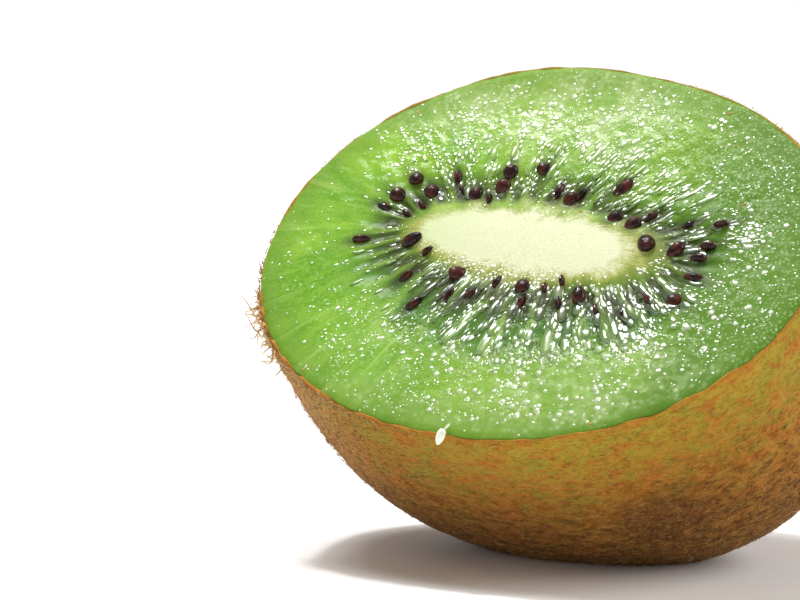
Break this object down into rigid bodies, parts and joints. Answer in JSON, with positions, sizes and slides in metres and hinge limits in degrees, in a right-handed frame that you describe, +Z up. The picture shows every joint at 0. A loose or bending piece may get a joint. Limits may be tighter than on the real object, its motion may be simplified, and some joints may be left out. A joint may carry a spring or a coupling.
{
  "type": "halved kiwi fruit",
  "caption": "Kiwi fruit cut across, lying tipped back on its furry brown skin, with a wet green cut face, a long pale core and dark seeds in spoke-like chambers.",
  "frame": {"origin": "on the table under the half: the bottom centre of its box", "axes": "+Z up, +X along the level line of the cut face, and the cut face looks up and towards -Y"},
  "size_m": [0.0553, 0.0451, 0.0432],
  "materials": {
    "flesh": "gloss",
    "skin": "matte",
    "seed": "gloss"
  },
  "bodies": {
    "root": {"kiwi_half": "flesh"}
  },
  "joints": []
}
